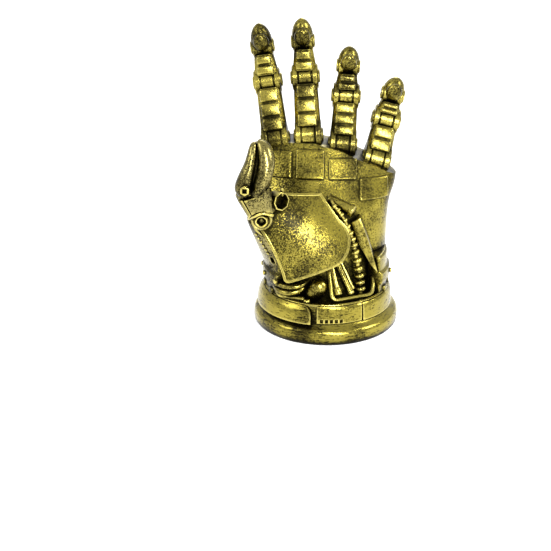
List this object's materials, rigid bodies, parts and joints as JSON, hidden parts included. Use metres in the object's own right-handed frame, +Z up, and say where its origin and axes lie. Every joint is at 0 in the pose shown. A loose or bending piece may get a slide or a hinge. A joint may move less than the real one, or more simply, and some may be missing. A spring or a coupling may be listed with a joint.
{
  "type": "game controller stand",
  "caption": "Desk stand for a game controller: a mechanical left hand on a round plinth, with the thumb in front and the fingers behind the gap that the controller sits in.",
  "frame": {"origin": "centre of the round plinth's underside", "axes": "+Z up, -Y out of the palm towards the viewer, +X to the viewer's right, away from the thumb"},
  "size_m": [0.081, 0.0753, 0.1449],
  "materials": {
    "antique_gold": "cast vinyl or resin painted antique gold: bright rubbed edges, olive brown mottling and a near-black wash in the recesses"
  },
  "bodies": {
    "root": {"hand_stand": "antique_gold"}
  },
  "joints": []
}
